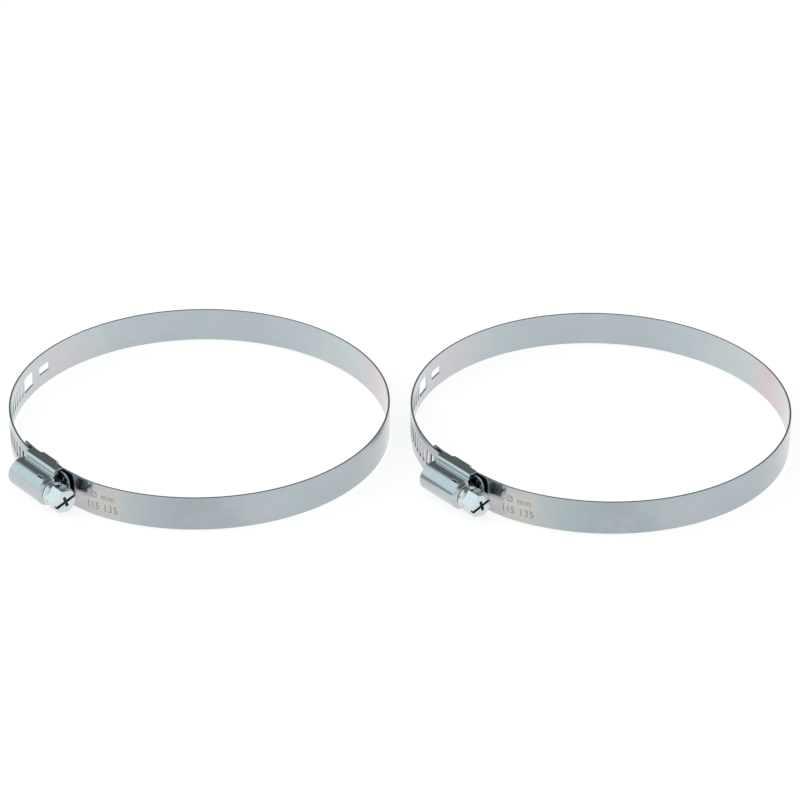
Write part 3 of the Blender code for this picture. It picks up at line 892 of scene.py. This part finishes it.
# Spots of colour on the band, from its clamp's centre: centre, reach, strength and tint. They are
# partly plating tint and partly painted reflection: the slate spot paints a darker reflection at the
# front's middle, the blush spot a brighter one at the inner right end.
TINT_AND_REFLECTION_SPOTS = (
    ((64 * MM, 19 * MM, 6 * MM), 24 * MM, 0.95, BLUSH),
    ((0 * MM, -67 * MM, 6 * MM), 30 * MM, 1.0, SLATE),
    ((-31 * MM, -61 * MM, 6 * MM), 18 * MM, 1.0, STRAW),
    ((-38 * MM, -56 * MM, 7 * MM), 9 * MM, 0.5, ROSE),
    ((-63 * MM, -24 * MM, 3 * MM), 12 * MM, 0.5, ROSE),
    ((-54 * MM, 40 * MM, 7 * MM), 26 * MM, 0.35, ROSE),
    ((30 * MM, -60 * MM, 1 * MM), 16 * MM, 0.12, ROSE),
)
BAND_STEEL = plated_steel(
    "band_steel",
    colour=(0.44, 0.50, 0.53),
    blush=ROSE,
    straw=STRAW,
    rough=0.15,
    streaks=0.03,
    bump=0.10,
    spots=TINT_AND_REFLECTION_SPOTS,
    # A paler colour that paints a brighter reflection on the loop's sides and behind its front.
    pale=(0.58, 0.635, 0.65),
)
HOUSING_STEEL = plated_steel(
    "housing_steel",
    colour=(0.54, 0.585, 0.605),
    blush=(0.64, 0.56, 0.61),
    straw=(0.59, 0.59, 0.56),
    rough=0.13,
    streaks=0.10,
    bump=0.2,
)
SCREW_STEEL = plated_steel(
    "screw_steel",
    colour=(0.68, 0.73, 0.745),
    blush=(0.70, 0.65, 0.69),
    straw=(0.68, 0.70, 0.67),
    rough=0.13,
    streaks=0.05,
    bump=0.12,
)
# A dark steel that paints the shade in the head's slot and cross recess onto their walls.
PAINTED_SHADE_STEEL = plated_steel(
    "recess_painted_shade",
    colour=(0.24, 0.29, 0.33),
    blush=(0.27, 0.26, 0.30),
    straw=(0.25, 0.27, 0.27),
    rough=0.3,
    streaks=0.02,
    bump=0.06,
)
STAMP = stamped("stamp", (0.17, 0.195, 0.21))


# ---------------------------------------------------------------- build


# The stamp's lines of plain figures: name, text, letter size, start and end angle, and height.
FIGURES = (
    ("size_unit", "Ø mm", 3.5 * MM, 18.7, 26.6, 0.7 * MM),
    ("size_low", "115", 4.0 * MM, 17.5, 21.3, -3.75 * MM),
    ("size_high", "135", 4.0 * MM, 23.4, 27.5, -3.75 * MM),
)


def add_piece(name, mesh, side, material, body, to_world, node=None, second=None):
    """Puts a piece in its clamp's place and on its body."""
    mesh.transform(to_world)
    if second:
        mesh.materials[0] = material
        mesh.materials[1] = second
    else:
        mesh.materials.clear()
        mesh.materials.append(material)
    piece = object_of(f"{side}_{name}", mesh)
    if node:
        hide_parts(f"{side}_{node}")
    if body:
        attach(piece, body)
    return piece


def build_clamp(side, centre_x):
    turn = Matrix.Rotation(math.radians(HOUSING_ANGLE), 4, "Z")
    clamp = Matrix.Translation((centre_x, 0, MID_HEIGHT)) @ turn
    screw = clamp @ AXIS_TO_CLAMP
    band_body, screw_body = f"{side}_band", f"{side}_screw"
    add_piece("free_end", free_end_mesh(), side, BAND_STEEL, band_body, clamp, "band")
    plain = add_piece("plain_band", plain_part_mesh(), side, BAND_STEEL, None, clamp, "band")
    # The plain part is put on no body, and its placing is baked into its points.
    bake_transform(plain)
    for name, text, size, start, end, height in FIGURES:
        mesh = lettering_mesh(text, size, start, end, height)
        add_piece(name, mesh, side, STAMP, "housings", clamp)
    shell = (
        ("pressed_housing", housing_mesh(), clamp, "housing"),
        ("throat", throat_mesh(), screw, None),
        ("journal_lip", journal_lip_mesh(), screw, None),
    )
    for name, mesh, place, node in shell:
        add_piece(name, mesh, side, HOUSING_STEEL, "housings", place, node)
    turning = (
        ("screw_body", body_mesh(), "worm_screw", None),
        ("thread", thread_mesh(), None, None),
        # The head's slot and cross walls get the steel with the painted shade.
        ("hex_head", head_mesh(), None, PAINTED_SHADE_STEEL),
    )
    for name, mesh, node, recess in turning:
        add_piece(name, mesh, side, SCREW_STEEL, screw_body, screw, node, recess)
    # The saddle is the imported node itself, in the housing's steel.
    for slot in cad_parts[f"{side}_saddle"].material_slots:
        slot.material = HOUSING_STEEL


build_clamp("left", -CENTRE_X)
build_clamp("right", CENTRE_X)


# ---------------------------------------------------------------- studio


FLOOR_SIZE = 4.0
FLOOR_DROP = 0.05 * MM
FLOOR_COLOUR = (0.9, 0.9, 0.9, 1.0)
FLOOR_GLOW = 1.1
FLOOR_GLOW_SHARE = 0.75

TENT_COLOUR = (0.90, 0.935, 0.955)
BRIGHT_SIDE = (0.98, 1.15, 1.18)
OPENING_BEHIND = (0.17, 0.185, 0.18)
OPENING_ABOVE = (0.20, 0.185, 0.17)

# Camera: its lens and its aim are given in pixels of the photograph's frame.
FRAME_PIXELS = 800.0
LENS_PIXELS = 3789.0
AIM_RIGHT_PIXELS = -1.0
AIM_UP_PIXELS = 17.3
DISTANCE = 1.364
ELEVATION = math.radians(29.9)
ROLL = math.radians(0.57)
SENSOR_WIDTH = 36.0


def make_world():
    """A pale light tent: brightest at the left, with dark openings behind the object and above it."""
    world = bpy.data.worlds.new("studio")
    bpy.context.scene.world = world
    world.use_nodes = True
    n = Nodes(world.node_tree)
    output = n.add("ShaderNodeOutputWorld")
    background = n.add("ShaderNodeBackground")
    n.join(background.outputs[0], output.inputs["Surface"])
    direction = n.add("ShaderNodeTexCoord").outputs["Generated"]

    def towards(azimuth, height):
        """The cosine of the angle to a direction, given by its azimuth and height in degrees."""
        aim = n.add("ShaderNodeVectorMath", operation="DOT_PRODUCT")
        n.join(direction, aim.inputs[0])
        a, h = math.radians(azimuth), math.radians(height)
        level = math.cos(h)
        aim.inputs[1].default_value = (level * math.cos(a), level * math.sin(a), math.sin(h))
        return aim.outputs["Value"]

    behind = n.ramp(towards(azimuth=95, height=30), 0.74, 0.91)
    above = n.ramp(towards(azimuth=320, height=72), 0.70, 0.93)
    bright = n.ramp(towards(azimuth=168, height=34), 0.78, 1.0)
    tent = n.mix(bright, TENT_COLOUR, BRIGHT_SIDE)
    dark = n.mix(above, OPENING_BEHIND, OPENING_ABOVE)
    n.join(n.mix(n.math("MAXIMUM", behind, above), tent, dark), background.inputs["Color"])


def floor_material():
    """Pale paper, mixed with a white glow where the camera or a reflection sees it."""
    material = bpy.data.materials.new("floor")
    material.use_nodes = True
    n = Nodes(material.node_tree)
    output = n.add("ShaderNodeOutputMaterial")
    paper = n.add("ShaderNodeBsdfDiffuse")
    paper.inputs["Color"].default_value = FLOOR_COLOUR
    glow = n.add("ShaderNodeEmission")
    glow.inputs["Strength"].default_value = FLOOR_GLOW
    path = n.add("ShaderNodeLightPath")
    seen = n.math("MAXIMUM", path.outputs["Is Camera Ray"], path.outputs["Is Glossy Ray"])
    seen = n.math("MAXIMUM", seen, path.outputs["Is Transmission Ray"])
    mix = n.add("ShaderNodeMixShader")
    n.join(n.math("MULTIPLY", seen, FLOOR_GLOW_SHARE), mix.inputs[0])
    n.join(paper.outputs[0], mix.inputs[1])
    n.join(glow.outputs[0], mix.inputs[2])
    n.join(mix.outputs[0], output.inputs["Surface"])
    return material


def make_floor():
    mesh = bpy.data.meshes.new("floor")
    bm = bmesh.new()
    bmesh.ops.create_grid(bm, x_segments=1, y_segments=1, size=FLOOR_SIZE)
    bm.to_mesh(mesh)
    bm.free()
    mesh.materials.append(floor_material())
    floor = object_of("floor", mesh)
    floor.location = (0, 0, -FLOOR_DROP)


def area_light(name, place, size, power):
    """A soft box aimed at the middle of the pair. It lights the metal but isn't mirrored in it."""
    light = bpy.data.lights.new(name, "AREA")
    light.shape = "RECTANGLE"
    light.size, light.size_y = size
    light.energy = power
    lamp = object_of(name, light)
    lamp.visible_glossy = False
    lamp.location = place
    lamp.rotation_euler = (-Vector(place)).to_track_quat("-Z", "Y").to_euler()


def make_camera():
    """A camera in front of the pair, at the photograph's viewing angle."""
    camera = object_of("camera", bpy.data.cameras.new("camera"))
    camera.data.sensor_width = SENSOR_WIDTH
    camera.data.lens = LENS_PIXELS * SENSOR_WIDTH / FRAME_PIXELS
    camera.data.clip_start = 0.01
    camera.data.clip_end = 50.0
    tilt = Matrix.Rotation(math.pi / 2 - ELEVATION, 4, "X") @ Matrix.Rotation(ROLL, 4, "Z")
    per_pixel = DISTANCE / LENS_PIXELS
    shift = tilt @ Vector((AIM_RIGHT_PIXELS * per_pixel, AIM_UP_PIXELS * per_pixel, DISTANCE))
    camera.matrix_world = Matrix.Translation(Vector((0, 0, MID_HEIGHT)) + shift) @ tilt
    bpy.context.scene.camera = camera


make_world()
make_floor()
area_light("left_box", place=(-1.1, -0.1, 0.75), size=(0.9, 0.9), power=4.2)
area_light("top_box", place=(0.1, -0.3, 1.4), size=(1.2, 1.0), power=6.0)
make_camera()

bpy.context.scene.view_settings.view_transform = "Standard"
